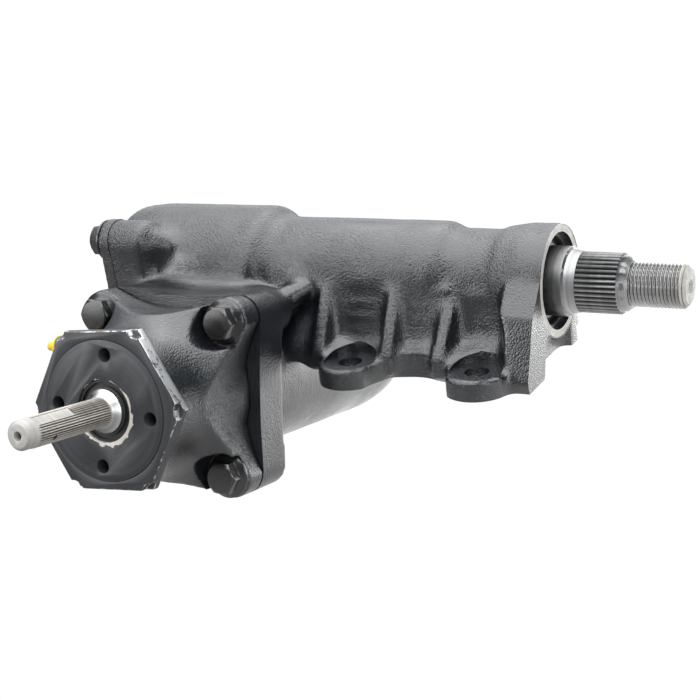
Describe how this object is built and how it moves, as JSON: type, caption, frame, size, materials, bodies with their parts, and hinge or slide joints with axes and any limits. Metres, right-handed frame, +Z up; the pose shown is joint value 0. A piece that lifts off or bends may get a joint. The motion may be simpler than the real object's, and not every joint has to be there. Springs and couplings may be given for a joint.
{
  "type": "steering gearbox",
  "caption": "Recirculating-ball power steering gearbox: ribbed cast housing with tilted mounting feet, serrated input shaft, ball-nut piston and threaded, serrated sector shaft.",
  "frame": {"origin": "middle of the sector shaft's thread for the drop arm nut, on the shaft axis", "axes": "+X along the sector shaft towards its serrated end, -Y along the worm axis towards the input shaft's end, +Z up from the worm axis to the sector shaft axis"},
  "size_m": [0.381, 0.3648, 0.1572],
  "materials": {
    "cast_paint": "gloss black paint over a cast surface",
    "plug_steel": "satin black, worn to bare steel on the edges",
    "bolt_black": "black finish, semi-gloss",
    "bright_steel": "turned and ground",
    "bearing_steel": "ground",
    "oil_rubber": "matt",
    "ring_plastic": "matt",
    "cap_plastic": "yellow, semi-gloss"
  },
  "bodies": {
    "housing": {"gear_housing": "cast_paint", "valve_housing": "cast_paint", "valve_joint_seal": "oil_rubber", "valve_bolts": "bolt_black", "bearing_plug": "plug_steel", "plug_lock_nut": "plug_steel", "input_seal": "oil_rubber", "input_needle_shell": "bearing_steel", "input_needles": "bearing_steel", "worm_outer_race": "bearing_steel", "worm_bearing_balls": "bearing_steel", "side_cover": "cast_paint", "side_cover_seal": "oil_rubber", "side_cover_bolts": "bolt_black", "cover_needle_shell": "bearing_steel", "cover_needles": "bearing_steel", "adjusting_screw": "bright_steel", "adjusting_lock_nut": "bolt_black", "inner_needle_shell": "bearing_steel", "inner_needles": "bearing_steel", "outer_needle_shell": "bearing_steel", "outer_needles": "bearing_steel", "sector_seal": "oil_rubber", "seal_snap_ring": "bearing_steel", "pressure_port_cap": "cap_plastic", "return_port_cap": "cap_plastic"},
    "sector": {"sector_shaft": "bright_steel"},
    "piston": {"ball_nut_piston": "bright_steel", "return_guide": "bright_steel", "nut_balls": "bearing_steel", "piston_seal_ring": "ring_plastic"},
    "worm": {"worm_shaft": "bright_steel", "worm_inner_race": "bearing_steel", "valve_sleeve": "bright_steel", "sleeve_rings": "ring_plastic"},
    "input": {"input_shaft": "bright_steel", "torsion_bar": "bright_steel", "torsion_pin": "bearing_steel"}
  },
  "joints": [
    {"name": "sector_turn", "type": "hinge", "parent": "housing", "child": "sector", "pos_m": [0, 0, 0], "axis": [1, 0, 0], "range_deg": [-42, 42]},
    {"name": "piston_slide", "type": "slide", "parent": "housing", "child": "piston", "axis": [0, 1, 0], "range_m": [-0.0221, 0.0221]},
    {"name": "worm_turn", "type": "hinge", "parent": "housing", "child": "worm", "pos_m": [-0.256, 0, -0.063], "axis": [0, 1, 0], "range_deg": [-680, 680]},
    {"name": "valve_twist", "type": "hinge", "parent": "worm", "child": "input", "pos_m": [-0.256, 0, -0.063], "axis": [0, 1, 0], "range_deg": [-6, 6], "stiffness_Nm_per_rad": 50}
  ],
  "couplings": [
    {"joint": "piston_slide", "follows": "sector_turn", "m_per_rad": 0.0297},
    {"joint": "worm_turn", "follows": "sector_turn", "ratio": -15.95}
  ]
}
